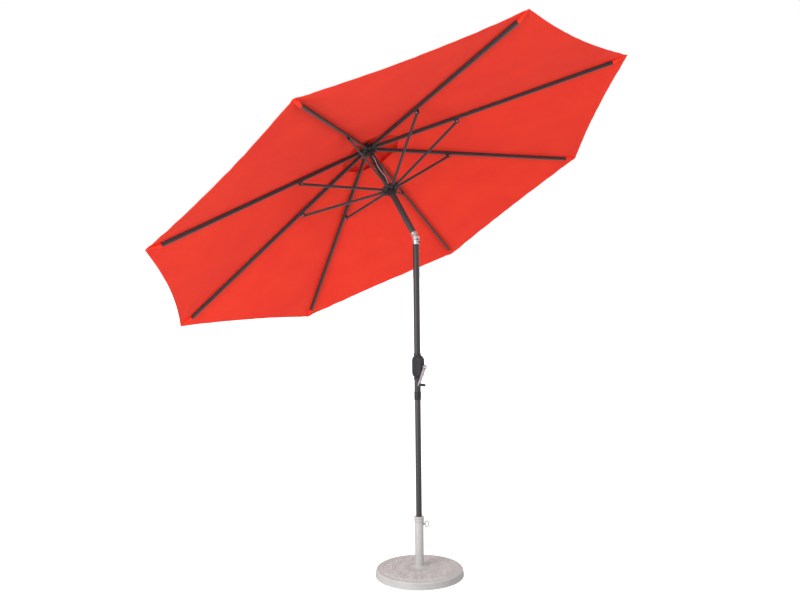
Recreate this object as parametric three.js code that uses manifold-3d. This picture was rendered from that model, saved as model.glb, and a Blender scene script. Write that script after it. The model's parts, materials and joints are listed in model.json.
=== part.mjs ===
// Tilting market umbrella on a round weighted base. Millimetres, +Z up.
// The origin is the middle of the base on the ground. The head leans towards -X.
import * as THREE from 'three';
import { mergeVertices } from 'three/addons/utils/BufferGeometryUtils.js';
import Module from 'manifold-3d';

const wasm = await Module();
wasm.setup();

// ---------------------------------------------------------------- driving dimensions
const GAP = 0.3; // between pieces that touch
const DEG = Math.PI / 180;

const RIBS = 8;
const FIRST_RIB = -21.7 * DEG; // first rib's azimuth in the head
const SECTOR = (2 * Math.PI) / RIBS;

// base
const PLATE_R = 228.5;
const PLATE_H = 37;
const BOSS_R = 29;
const BOSS_TOP = 54;
const TUBE_R = 22.5;
const TUBE_WALL = 2;
const TUBE_BOTTOM = 16;
const TUBE_TOP = 300;
const TUBE_CAP_R = 25.5;
const TUBE_CAP_H = 28;
const KNOB_Z = 267;
const KNOB_AZIMUTH = 35 * DEG;
const KNOB_STUD_R = 4;
const KNOB_MIDDLE = 40; // the ring's centre, from the pole's axis

// mast
const LOWER_POLE_R = 15;
const POLE_R = 16;
const POLE_WALL = 1.5;
const POLE_FOOT_Z = 24;
const JOINT_Z = 931; // top end of the lower pole
const COLLAR_R = 17.6;
const COLLAR_H = 42;
const SPIGOT_LENGTH = 150;
const SNAP_Z = 985;

// crank
const CRANK_Z = 1080;
const HOUSING_X = 5; // middle of the housing, from the pole's axis
const HOUSING_HALF = 32.5;
const HOUSING_DEPTH = 21;
const HOUSING_H = 122;
const HOUSING_WALL = 2.2;
const SHAFT_R = 4.5;
const ARM_X = 46;
const ARM_REACH = 53; // sideways, towards -Y
const ARM_DROP = 84;
const GRIP_LENGTH = 38;
const GRIP_R = 7;

// tilt joint
const TILT_Z = 1738.3;
const TILT = 32.6 * DEG;
const KNUCKLE_R = 17.8;
const PIN_R = 4;
const EAR_R = 12;
const TONGUE_HALF = 7.4;
const EAR_INNER = 7.9;
const EAR_OUTER = 15.4;
const KNUCKLE_BLOCK_TOP = -14;
const KNUCKLE_BLOCK_BOTTOM = -34;
const SLEEVE_BOTTOM = 17;
const SLEEVE_TOP = 30;
const CORD_X = -7.6; // the cord passes the pin on this side
const CORD_R = 1.5;
const CORD_TURN = -45 * DEG; // the side of the head pole where the cord runs outside
const BUTTON_Z = -24;
const BUTTON_R = 4.8;

// canopy frame, measured up the head's axis from the tilt pin
const PIVOT_R = 32; // rib and strut pivots, from the axis
const HUB_Z = 550;
const RUNNER_Z = 300;
const RIVET_R = 472.3;
const RIVET_Z = (HUB_Z + RUNNER_Z) / 2;
const RIB_END_R = 1280.4;
const RIB_END_Z = 256.4;
const RIB_W = 11;
const RIB_D = 18;
const RIB_WALL = 0.9;
const STRUT_W = 8.5;
const STRUT_D = 13;
const HUB_R = 45;
const HUB_H = 26;
const RUNNER_SLEEVE_R = 23;
const RUNNER_BOTTOM = 264;
const SLOT_ROOT = 20.8;
const POLE_TOP = 582;
const PULLEY_Z = 510;
const PULLEY_R = 8.5;

// canopy cloth
const CLOTH_T = 1.6;
const CLOTH_LIFT = 10.6; // from a rib's middle line up to the cloth, along the axis
const VENT_R = 172;
const TIP_R = 1350;
const HEM_SAG = 28;
const CAP_R = 292;
const CAP_TOP = 590;
const CAP_DROP = 68;
const FINIAL_H = 58;

const RIB_SLOPE = (HUB_Z - RIB_END_Z) / (RIB_END_R - PIVOT_R);

// ---------------------------------------------------------------- materials
const finish = (color, roughness, metalness) =>
  new THREE.MeshStandardMaterial({ color, roughness, metalness });
const charcoal = finish(0x4b474b, 0.45, 0.3);
const darkPlastic = finish(0x3c3a3e, 0.55, 0);
const blackPlastic = finish(0x1c1b1d, 0.6, 0);
const zinc = finish(0xc9c9cc, 0.3, 0.9);
const steel = finish(0xb4b4b8, 0.4, 0.9);
const castStone = finish(0xc8c4c2, 0.6, 0);
const palePaint = finish(0xc6c2c0, 0.5, 0.2);
const cloth = finish(0xf04a28, 0.9, 0);
const cordBraid = finish(0xe9dadb, 0.9, 0);

// ---------------------------------------------------------------- geometry helpers
function solid(geometry) {
  const bare = new THREE.BufferGeometry();
  bare.setAttribute('position', geometry.getAttribute('position').clone());
  if (geometry.index) bare.setIndex(geometry.index.clone());
  const merged = mergeVertices(bare, 1e-4);
  const vertProperties = new Float32Array(merged.getAttribute('position').array);
  const all = merged.index.array;
  const triVerts = [];
  for (let i = 0; i < all.length; i += 3) {
    const [a, b, c] = [all[i], all[i + 1], all[i + 2]];
    if (a !== b && b !== c && c !== a) triVerts.push(a, b, c);
  }
  const mesh = new wasm.Mesh({ numProp: 3, vertProperties, triVerts: new Uint32Array(triVerts) });
  return new wasm.Manifold(mesh);
}

function surface(body) {
  const mesh = body.getMesh();
  const geometry = new THREE.BufferGeometry();
  geometry.setAttribute('position', new THREE.BufferAttribute(mesh.vertProperties.slice(), 3));
  geometry.setIndex(new THREE.BufferAttribute(mesh.triVerts.slice(), 1));
  geometry.computeVertexNormals();
  return geometry;
}

const cut = (geometry, ...tools) =>
  surface(tools.reduce((body, tool) => body.subtract(solid(tool)), solid(geometry)));
const join = (geometry, ...others) =>
  surface(others.reduce((body, other) => body.add(solid(other)), solid(geometry)));

// A turned piece about Z from [radius, height] points that run up the outside.
function turned(points, sides = 20) {
  const profile = points.map(([r, z]) => new THREE.Vector2(r, z));
  return new THREE.LatheGeometry(profile, sides).rotateX(Math.PI / 2);
}

function ring(inner, outer, low, high, sides = 20) {
  return turned([[inner, low], [outer, low], [outer, high], [inner, high], [inner, low]], sides);
}

function rod(radius, low, high, sides = 16) {
  return turned([[0, low], [radius, low], [radius, high], [0, high]], sides);
}

const alongX = (geometry) => geometry.rotateY(Math.PI / 2);
const alongY = (geometry) => geometry.rotateX(-Math.PI / 2);

function block(x0, x1, y0, y1, z0, z1) {
  const geometry = new THREE.BoxGeometry(x1 - x0, y1 - y0, z1 - z0);
  return geometry.translate((x0 + x1) / 2, (y0 + y1) / 2, (z0 + z1) / 2);
}

// An outline in X and Z, given its thickness along Y.
function plateXZ(outline, y0, y1) {
  const geometry = new THREE.ExtrudeGeometry(outline, {
    depth: y1 - y0, bevelEnabled: false, curveSegments: 10,
  });
  return geometry.rotateX(Math.PI / 2).translate(0, y1, 0);
}

// A rectangular tube from one point to another in the XZ plane, its wall all round and ends open.
function boxTube(from, to, width, depth, wall) {
  const run = new THREE.Vector2().subVectors(to, from);
  const outer = block(0, run.length(), -width / 2, width / 2, -depth / 2, depth / 2);
  const bore = block(-1, run.length() + 1, wall - width / 2, width / 2 - wall,
    wall - depth / 2, depth / 2 - wall);
  return cut(outer, bore).rotateY(-run.angle()).translate(from.x, 0, from.y);
}

function cord(points, steps) {
  const section = new THREE.Shape().absarc(0, 0, CORD_R, 0, 2 * Math.PI, false);
  const path = new THREE.CatmullRomCurve3(points.map((p) => new THREE.Vector3(...p)));
  return new THREE.ExtrudeGeometry(section, { steps, curveSegments: 4, extrudePath: path });
}

function piece(group, name, geometry, material) {
  const mesh = new THREE.Mesh(geometry, material);
  mesh.name = name;
  group.add(mesh);
  return mesh;
}

// ---------------------------------------------------------------- base
function addBase(parent) {
  const base = new THREE.Group();
  const top = PLATE_H;
  const edge = 9; // rounded top edge
  const rim = Array.from({ length: 4 }, (_, i) => {
    const turn = (i / 3) * 90 * DEG;
    return [PLATE_R - 4 - edge + edge * Math.cos(turn), top - edge + edge * Math.sin(turn)];
  });
  const plate = turned([
    [0, 0], [PLATE_R - 3, 0], [PLATE_R, 3], ...rim,
    [186, top], [176, top + 2], [60, top + 5], [40, top + 8], [BOSS_R, BOSS_TOP - 4],
    [BOSS_R - 2, BOSS_TOP], [0, BOSS_TOP],
  ], 48);
  const seat = rod(TUBE_R + GAP, TUBE_BOTTOM - GAP, BOSS_TOP + 1, 20);
  piece(base, 'base_plate', cut(plate, seat), castStone);

  const studHole = alongX(rod(KNOB_STUD_R + 0.4, 0, 60, 16))
    .rotateZ(KNOB_AZIMUTH).translate(0, 0, KNOB_Z);
  const tube = ring(TUBE_R - TUBE_WALL, TUBE_R, TUBE_BOTTOM, TUBE_TOP, 20);
  piece(base, 'base_tube', cut(tube, studHole), palePaint);

  const inner = LOWER_POLE_R + 0.6;
  const plug = TUBE_R - TUBE_WALL - GAP;
  const cap = turned([
    [inner, TUBE_TOP - 22], [plug, TUBE_TOP - 22], [plug, TUBE_TOP + GAP],
    [TUBE_R + GAP, TUBE_TOP + GAP], [TUBE_R + GAP, TUBE_TOP - TUBE_CAP_H + 8],
    [TUBE_CAP_R, TUBE_TOP - TUBE_CAP_H + 8], [TUBE_CAP_R, TUBE_TOP + 4],
    [TUBE_CAP_R - 3, TUBE_TOP + 7], [inner + 2, TUBE_TOP + 8], [inner, TUBE_TOP + 6],
    [inner, TUBE_TOP - 22],
  ], 20);
  piece(base, 'tube_cap', cap, palePaint);

  const nut = alongX(rod(8, TUBE_R + GAP, TUBE_R + 4.5, 6)).rotateZ(KNOB_AZIMUTH)
    .translate(0, 0, KNOB_Z);
  const saddle = rod(TUBE_R + GAP, KNOB_Z - 20, KNOB_Z + 20, 20);
  const nutDeep = alongX(rod(8, TUBE_R - 4, TUBE_R + 4.5, 6)).rotateZ(KNOB_AZIMUTH)
    .translate(0, 0, KNOB_Z);
  piece(base, 'knob_nut', cut(join(nut, nutDeep), saddle, studHole), steel);

  piece(base, 'base_knob', knobGeometry(), palePaint)
    .rotateZ(KNOB_AZIMUTH).position.set(0, 0, KNOB_Z);
  parent.add(base);
}

// A ring handle on a clamp stud, along +X from the pole's surface.
function knobGeometry() {
  const [halfX, halfZ, bar] = [12, 18, 5];
  const oval = new THREE.Shape();
  oval.absellipse(KNOB_MIDDLE, 0, halfX, halfZ, 0, 2 * Math.PI, false, 0);
  const eye = new THREE.Path();
  eye.absellipse(KNOB_MIDDLE, 0, halfX - bar, halfZ - bar, 0, 2 * Math.PI, true, 0);
  oval.holes.push(eye);
  const handle = new THREE.ExtrudeGeometry(oval, {
    depth: 6, bevelEnabled: false, curveSegments: 8,
  }).rotateX(Math.PI / 2).translate(0, 3, 0);
  const stud = alongX(rod(KNOB_STUD_R, LOWER_POLE_R + GAP + 0.2, KNOB_MIDDLE - halfX + bar - 1, 16));
  return join(handle, stud);
}

// ---------------------------------------------------------------- mast
function addMast(parent) {
  const mast = new THREE.Group();
  const bore = LOWER_POLE_R - POLE_WALL;
  const footR = TUBE_R - TUBE_WALL - 0.5;
  const plug = turned([
    [0, POLE_FOOT_Z - 8], [footR, POLE_FOOT_Z - 8], [footR, POLE_FOOT_Z + 12],
    [LOWER_POLE_R + GAP, POLE_FOOT_Z + 12], [LOWER_POLE_R + GAP, POLE_FOOT_Z - GAP],
    [bore - GAP, POLE_FOOT_Z - GAP], [bore - GAP, POLE_FOOT_Z + 22], [0, POLE_FOOT_Z + 22],
  ], 20);
  piece(mast, 'pole_foot', plug, blackPlastic);
  piece(mast, 'lower_pole', ring(bore, LOWER_POLE_R, POLE_FOOT_Z, JOINT_Z, 28), charcoal);

  const spigotR = bore - GAP;
  const snapHole = alongX(rod(4.4, 0, 30, 16)).rotateZ(90 * DEG).translate(0, 0, SNAP_Z);
  const half = SPIGOT_LENGTH / 2;
  const spigot = ring(spigotR - 1.6, spigotR, JOINT_Z - half, JOINT_Z + half, 20);
  piece(mast, 'joint_spigot', cut(spigot, snapHole), steel);

  const [low, high] = [JOINT_Z - COLLAR_H / 2, JOINT_Z + COLLAR_H / 2];
  const collar = turned([
    [LOWER_POLE_R + GAP, low], [COLLAR_R - 1, low], [COLLAR_R, low + 3], [COLLAR_R, high - 3],
    [COLLAR_R - 1, high], [POLE_R + GAP, high], [POLE_R + GAP, JOINT_Z + GAP],
    [LOWER_POLE_R + GAP, JOINT_Z + GAP], [LOWER_POLE_R + GAP, low],
  ], 20);
  piece(mast, 'pole_collar', collar, darkPlastic);

  const shaftHole = alongX(rod(SHAFT_R + 0.6, -30, 30, 20)).translate(0, 0, CRANK_Z);
  const poleLow = JOINT_Z + 1;
  const middle = ring(POLE_R - POLE_WALL, POLE_R, poleLow, TILT_Z + KNUCKLE_BLOCK_BOTTOM - GAP, 20);
  piece(mast, 'middle_pole', cut(middle, snapHole, shaftHole), charcoal);

  const snap = join(rod(4, spigotR - 6, POLE_R + 3.5, 16),
    rod(6, spigotR - 7.5, spigotR - 4.6, 16));
  piece(mast, 'snap_button', alongX(snap).rotateZ(90 * DEG).translate(0, 0, SNAP_Z), zinc);
  parent.add(mast);
  addCrank(mast);
  addLowerKnuckle(mast);
}

// The capsule outline of the crank housing in X and Z, grown or shrunk by an offset.
function capsule(offset) {
  const half = HOUSING_HALF + offset;
  const round = half * 0.98;
  const top = HOUSING_H / 2 + offset;
  const shape = new THREE.Shape();
  shape.moveTo(-half, -top + round);
  shape.absellipse(round - half, -top + round, round, round, Math.PI, 1.5 * Math.PI, false, 0);
  shape.absellipse(half - round, -top + round, round, round, 1.5 * Math.PI, 2 * Math.PI, false, 0);
  shape.absellipse(half - round, top - round, round, round, 0, 0.5 * Math.PI, false, 0);
  shape.absellipse(round - half, top - round, round, round, 0.5 * Math.PI, Math.PI, false, 0);
  return shape;
}

// One half of the housing: a shell open towards Y = 0, filleted round its flat face.
function housingShell(side) {
  const fillet = 9;
  const bevel = {
    bevelEnabled: true, bevelThickness: fillet, bevelSize: fillet, bevelOffset: -fillet,
    bevelSegments: 2, curveSegments: 4,
  };
  const outer = new THREE.ExtrudeGeometry(capsule(0), { depth: 2 * (HOUSING_DEPTH - fillet), ...bevel });
  const inner = new THREE.ExtrudeGeometry(capsule(-HOUSING_WALL), {
    depth: 2 * (HOUSING_DEPTH - fillet - HOUSING_WALL), ...bevel,
  });
  const place = (geometry, depth) => geometry.rotateX(Math.PI / 2)
    .translate(HOUSING_X, depth, CRANK_Z);
  const shell = place(outer, HOUSING_DEPTH - fillet);
  const hollow = place(inner, HOUSING_DEPTH - fillet - HOUSING_WALL);
  const away = -side;
  const halfSpace = block(-60, 80, Math.min(away * 60, away * -GAP / 2),
    Math.max(away * 60, away * -GAP / 2), CRANK_Z - 80, CRANK_Z + 80);
  const poleHole = rod(POLE_R + GAP, CRANK_Z - 90, CRANK_Z + 90, 20);
  const shaftHole = alongX(rod(SHAFT_R + 0.6, 20, 60, 20)).translate(0, 0, CRANK_Z);
  const boss = alongX(ring(SHAFT_R + 0.6, 10, HOUSING_X + HOUSING_HALF - 3,
    HOUSING_X + HOUSING_HALF + 3, 20)).translate(0, 0, CRANK_Z);
  return cut(join(cut(shell, hollow), boss), halfSpace, poleHole, shaftHole);
}

function addCrank(mast) {
  piece(mast, 'housing_front', housingShell(-1), darkPlastic);
  piece(mast, 'housing_back', housingShell(1), darkPlastic);

  const crank = new THREE.Group();
  crank.position.set(0, 0, CRANK_Z);
  const end = HOUSING_X + HOUSING_HALF + 3;
  piece(crank, 'crank_shaft', alongX(rod(SHAFT_R, -24, end + 13, 20)), steel);
  const drum = alongX(turned([
    [SHAFT_R + GAP, -8], [10.8, -8], [10.8, -6.5], [7, -5], [7, 5], [10.8, 6.5], [10.8, 8],
    [SHAFT_R + GAP, 8], [SHAFT_R + GAP, -8],
  ], 24));
  piece(crank, 'cord_spool', drum, blackPlastic);
  const collarRing = alongX(ring(SHAFT_R + GAP, 8, -23, -POLE_R - 2));
  piece(crank, 'shaft_collar', collarRing, steel);
  const brake = alongX(ring(SHAFT_R + GAP, 9.5, POLE_R + 3, POLE_R + 12, 20));
  piece(crank, 'brake_spring', brake, steel);

  const angle = Math.atan2(-ARM_DROP, -ARM_REACH);
  const length = Math.hypot(ARM_DROP, ARM_REACH);
  const outline = new THREE.Shape();
  outline.absarc(0, 0, 10.5, 0.5 * Math.PI, 1.5 * Math.PI, false);
  outline.absarc(length, 0, 7.5, -0.5 * Math.PI, 0.5 * Math.PI, false);
  const blade = new THREE.ExtrudeGeometry(outline, {
    depth: 5, bevelEnabled: false, curveSegments: 10,
  });
  const bladeInX = blade.rotateZ(angle).rotateX(Math.PI / 2).rotateZ(Math.PI / 2)
    .translate(ARM_X - 2.5, 0, 0);
  const eye = alongX(ring(SHAFT_R + 1, 10.4, end + GAP, end + 12, 20));
  const shaftHole = alongX(rod(SHAFT_R + GAP, 20, 80, 20));
  const [gy, gz] = [-ARM_REACH, -ARM_DROP];
  const gripPin = alongX(rod(2.6, ARM_X - 1, ARM_X + GRIP_LENGTH + 2, 14)).translate(0, gy, gz);
  const pinHead = alongX(rod(4.6, ARM_X + GRIP_LENGTH + 1.2, ARM_X + GRIP_LENGTH + 3.2, 14))
    .translate(0, gy, gz);
  const arm = cut(join(bladeInX, eye), shaftHole);
  piece(crank, 'crank_arm', join(arm, gripPin, pinHead), zinc);

  const start = ARM_X + 2.5 + 0.6;
  const finish_ = ARM_X + GRIP_LENGTH + 0.8;
  const grip = alongX(turned([
    [2.9, start], [GRIP_R - 1, start], [GRIP_R, start + 3], [GRIP_R - 0.8, (start + finish_) / 2],
    [GRIP_R, finish_ - 4], [GRIP_R - 2, finish_], [2.9, finish_], [2.9, start],
  ], 20)).translate(0, gy, gz);
  piece(crank, 'crank_grip', grip, blackPlastic);
  mast.add(crank);

  const cordTop = TILT_Z + KNUCKLE_BLOCK_TOP - 1;
  piece(mast, 'lift_cord_lower', cord([
    [0, 9.2, CRANK_Z + 2], [-2, 8, CRANK_Z + 90], [CORD_X, 0, TILT_Z - 90], [CORD_X, 0, cordTop],
  ], 16), cordBraid);
}

// ---------------------------------------------------------------- tilt joint
function ear(radius, low, half) {
  const shape = new THREE.Shape();
  shape.moveTo(-half, low);
  shape.lineTo(half, low);
  shape.lineTo(radius, 0);
  shape.absarc(0, 0, radius, 0, Math.PI, false);
  return shape;
}

function addLowerKnuckle(mast) {
  const knuckle = new THREE.Group();
  knuckle.position.set(0, 0, TILT_Z);
  const body = rod(KNUCKLE_R, KNUCKLE_BLOCK_BOTTOM, KNUCKLE_BLOCK_TOP, 20);
  const spigot = rod(POLE_R - POLE_WALL - GAP, KNUCKLE_BLOCK_BOTTOM - 28, KNUCKLE_BLOCK_BOTTOM + 2, 20);
  const cheeks = [1, -1].map((side) => {
    const [near, far] = [side * EAR_INNER, side * EAR_OUTER];
    return plateXZ(ear(EAR_R, KNUCKLE_BLOCK_TOP - 4, EAR_R - 2), Math.min(near, far), Math.max(near, far));
  });
  const pinHole = alongY(rod(PIN_R + GAP, -20, 20, 20));
  const cordHole = rod(CORD_R + 1.4, -80, 0, 16).translate(CORD_X, 0, 0);
  const buttonHole = alongX(rod(BUTTON_R + 0.4, 4, 30, 20)).translate(0, 0, BUTTON_Z);
  piece(knuckle, 'lower_knuckle', cut(join(body, spigot, ...cheeks), pinHole, cordHole, buttonHole), zinc);

  const head = PIN_R + 2.5;
  const pin = alongY(turned([
    [0, -EAR_OUTER - 2.6], [head, -EAR_OUTER - 2.6], [head, -EAR_OUTER - GAP],
    [PIN_R, -EAR_OUTER - GAP], [PIN_R, EAR_OUTER + GAP], [head, EAR_OUTER + GAP],
    [head, EAR_OUTER + 2.6], [0, EAR_OUTER + 2.6],
  ], 20));
  piece(knuckle, 'tilt_pin', pin, steel);
  const button = turned([
    [0, 8], [BUTTON_R, 8], [BUTTON_R, KNUCKLE_R + 3], [BUTTON_R - 1, KNUCKLE_R + 4],
    [0, KNUCKLE_R + 4.2],
  ], 20);
  piece(knuckle, 'tilt_button', alongX(button).translate(0, 0, BUTTON_Z), blackPlastic);
  mast.add(knuckle);
}

// ---------------------------------------------------------------- head
function addHead(parent) {
  const head = new THREE.Group();
  head.position.set(0, 0, TILT_Z);
  head.rotation.y = -TILT;
  addUpperKnuckle(head);
  addHubAndPole(head);
  addRunner(head);
  for (let i = 0; i < RIBS; i += 1) addRibSet(head, i);
  addCap(head);
  addHeadCords(head);
  parent.add(head);
}

function addUpperKnuckle(head) {
  const tongue = plateXZ(ear(EAR_R, 0, EAR_R), -TONGUE_HALF, TONGUE_HALF);
  const neck = block(-EAR_R, EAR_R, -TONGUE_HALF, TONGUE_HALF, -0.5, SLEEVE_BOTTOM + 1);
  const lowerRound = alongY(rod(EAR_R, -TONGUE_HALF, TONGUE_HALF, 40));
  const sleeve = rod(KNUCKLE_R, SLEEVE_BOTTOM, SLEEVE_TOP, 20);
  const spigot = rod(POLE_R - POLE_WALL - GAP, SLEEVE_TOP - 1, SLEEVE_TOP + 28, 20);
  const pinHole = alongY(rod(PIN_R + 0.1, -20, 20, 20));
  const cordHole = rod(CORD_R + 1.2, -30, 80, 16).translate(CORD_X, 0, 0);
  piece(head, 'upper_knuckle',
    cut(join(tongue, neck, lowerRound, sleeve, spigot), pinHole, cordHole), zinc);
}

// Radial slots for the ribs or struts, right through a disc.
function slots(width, low, high) {
  return Array.from({ length: RIBS }, (_, i) =>
    block(SLOT_ROOT, HUB_R + 20, -width / 2, width / 2, low, high).rotateZ(FIRST_RIB + i * SECTOR));
}

function addHubAndPole(head) {
  const inner = POLE_R + GAP;
  const [low, high] = [HUB_Z - HUB_H / 2, HUB_Z + HUB_H / 2];
  const hub = turned([
    [inner, low], [HUB_R - 3, low], [HUB_R, low + 3], [HUB_R, high - 3], [HUB_R - 3, high],
    [inner, high], [inner, low],
  ], 32);
  piece(head, 'top_hub', cut(hub, ...slots(RIB_W + 1.2, low - 1, high + 1)), blackPlastic);

  const pole = ring(POLE_R - POLE_WALL, POLE_R, SLEEVE_TOP + GAP, POLE_TOP, 20);
  const window = block(0, 30, -3.5, 3.5, PULLEY_Z - 40, PULLEY_Z + 13).rotateZ(CORD_TURN);
  const pulleyHoles = alongY(rod(2.4, -30, 30, 14)).rotateZ(CORD_TURN).translate(0, 0, PULLEY_Z);
  piece(head, 'top_pole', cut(pole, window, pulleyHoles), charcoal);

  const groove = PULLEY_R - 2.5;
  const pulley = alongY(turned([
    [2.6, -4], [PULLEY_R, -4], [groove, -1.5], [groove, 1.5], [PULLEY_R, 4], [2.6, 4], [2.6, -4],
  ], 24));
  piece(head, 'pulley', pulley.rotateZ(CORD_TURN).translate(0, 0, PULLEY_Z), blackPlastic);
  const pin = alongY(rod(2.1, -POLE_R - 1.2, POLE_R + 1.2, 14));
  piece(head, 'pulley_pin', pin.rotateZ(CORD_TURN).translate(0, 0, PULLEY_Z), steel);
}

function addRunner(head) {
  const inner = POLE_R + 0.7;
  const [low, high] = [RUNNER_Z - 13, RUNNER_Z + 13];
  const runner = turned([
    [inner, RUNNER_BOTTOM], [RUNNER_SLEEVE_R, RUNNER_BOTTOM], [RUNNER_SLEEVE_R, low - 2],
    [HUB_R - 4, low], [HUB_R - 1, low + 3], [HUB_R - 1, high - 3], [HUB_R - 4, high],
    [inner, high], [inner, RUNNER_BOTTOM],
  ], 32);
  piece(head, 'runner', cut(runner, ...slots(STRUT_W + 1.4, low - 9, high + 1)), blackPlastic);
}

// One rib with its strut and the gore to its left, in the head's turning order.
function addRibSet(head, index) {
  const spoke = new THREE.Group();
  spoke.rotation.z = FIRST_RIB + index * SECTOR;
  piece(spoke, `rib_${index + 1}`, ribGeometry(), charcoal);
  const runnerEnd = new THREE.Vector2(PIVOT_R, RUNNER_Z);
  const rivet = new THREE.Vector2(RIVET_R, RIVET_Z);
  const run = new THREE.Vector2().subVectors(rivet, runnerEnd).normalize();
  const from = runnerEnd.clone().addScaledVector(run, -4);
  const to = rivet.clone().addScaledVector(run, 6);
  piece(spoke, `strut_${index + 1}`, boxTube(from, to, STRUT_W, STRUT_D, RIB_WALL), charcoal);
  head.add(spoke);

  const gore = new THREE.Group();
  gore.rotation.z = FIRST_RIB + (index + 0.5) * SECTOR;
  piece(gore, `panel_${index + 1}`, goreGeometry(), cloth);
  head.add(gore);
}

function ribGeometry() {
  const pivot = new THREE.Vector2(PIVOT_R, HUB_Z);
  const end = new THREE.Vector2(RIB_END_R, RIB_END_Z);
  const run = new THREE.Vector2().subVectors(end, pivot).normalize();
  const tube = boxTube(pivot.clone().addScaledVector(run, -5), end, RIB_W, RIB_D, RIB_WALL);
  const plate = 1.6;
  const near = STRUT_W / 2 + 0.5;
  const brackets = [1, -1].map((side) => {
    const shape = new THREE.Shape();
    shape.moveTo(RIVET_R - 14, RIVET_Z + 20);
    shape.lineTo(RIVET_R - 8, RIVET_Z);
    shape.absarc(RIVET_R, RIVET_Z, 8, Math.PI, 2 * Math.PI, false);
    shape.lineTo(RIVET_R + 14, RIVET_Z + 14);
    const [y0, y1] = [side * near, side * (near + plate)];
    return plateXZ(shape, Math.min(y0, y1), Math.max(y0, y1));
  });
  return join(tube, ...brackets);
}

// A flat gore between two ribs, with a scalloped hem and a cut-off top at the vent.
function goreGeometry() {
  const half = SECTOR / 2;
  const slope = Math.atan(RIB_SLOPE / Math.cos(half));
  const seamGap = 0.6;
  const stretch = 1 / Math.cos(slope);
  const along = (r) => r * Math.cos(half) * stretch;
  const across = (r) => r * Math.sin(half) - seamGap;
  const shape = new THREE.Shape();
  shape.moveTo(along(VENT_R), across(VENT_R));
  shape.lineTo(along(VENT_R), -across(VENT_R));
  shape.lineTo(along(TIP_R), -across(TIP_R));
  const points = 10;
  for (let i = 1; i <= points; i += 1) {
    const t = (2 * i) / points - 1;
    shape.lineTo(along(TIP_R) - HEM_SAG * (1 - t * t), across(TIP_R) * t);
  }
  const sheet = new THREE.ExtrudeGeometry(shape, { depth: CLOTH_T, bevelEnabled: false });
  const apex = HUB_Z + PIVOT_R * RIB_SLOPE + CLOTH_LIFT;
  return sheet.rotateY(slope).translate(0, 0, apex);
}

function addCap(head) {
  const stem = 9;
  const rimZ = CAP_TOP - CAP_DROP;
  const cap = turned([
    [stem, CAP_TOP], [CAP_R, rimZ], [CAP_R, rimZ + CLOTH_T + 0.4], [stem, CAP_TOP + CLOTH_T + 0.4],
    [stem, CAP_TOP],
  ], RIBS).rotateZ(FIRST_RIB + Math.PI / 2);
  piece(head, 'vent_cap', cap, cloth);

  const top = CAP_TOP + CLOTH_T + 0.4 + GAP;
  const plugR = POLE_R - POLE_WALL - GAP;
  const ball = Array.from({ length: 9 }, (_, i) => {
    const turn = (-60 + (i / 8) * 150) * DEG;
    return [Math.max(15 * Math.cos(turn), 0), top + FINIAL_H - 15 + 15 * Math.sin(turn)];
  });
  ball[ball.length - 1][0] = 0;
  const finial = turned([
    [0, POLE_TOP - 18], [plugR, POLE_TOP - 18], [plugR, POLE_TOP + 1], [stem - 1, POLE_TOP + 3],
    [stem - 1, top], [21, top], [22, top + 4], [17, top + 9], [8, top + 16], [7, top + 24], ...ball,
  ], 20);
  piece(head, 'finial', finial, blackPlastic);
}

function addHeadCords(head) {
  const rise = PULLEY_Z - 1;
  const side = PULLEY_R + 0.4;
  const [x, y] = [-side * Math.cos(CORD_TURN), -side * Math.sin(CORD_TURN)];
  piece(head, 'lift_cord_upper', cord([
    [CORD_X, 0, -EAR_R + 2.2], [CORD_X, 0, 60], [x, y, rise - 60], [x, y, rise],
  ], 14), cordBraid);
  piece(head, 'lift_cord_outer', cord([
    [POLE_R + 2.2, 0, RUNNER_Z + 13 + GAP], [POLE_R + 5, 5, RUNNER_Z + 60],
    [POLE_R + 4, -3, RUNNER_Z + 125], [POLE_R + 2.8, 0, PULLEY_Z - 30], [PULLEY_R + 2.4, 0, PULLEY_Z - 3],
  ], 20).rotateZ(CORD_TURN), cordBraid);
}

const umbrella = new THREE.Group();
addBase(umbrella);
addMast(umbrella);
addHead(umbrella);

export default umbrella;
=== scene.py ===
"""Tilting market umbrella: the finished pieces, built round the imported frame. Metres, +Z up."""
import json
import math
import random

import bmesh
import bpy
from mathutils import Matrix, Vector


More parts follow.
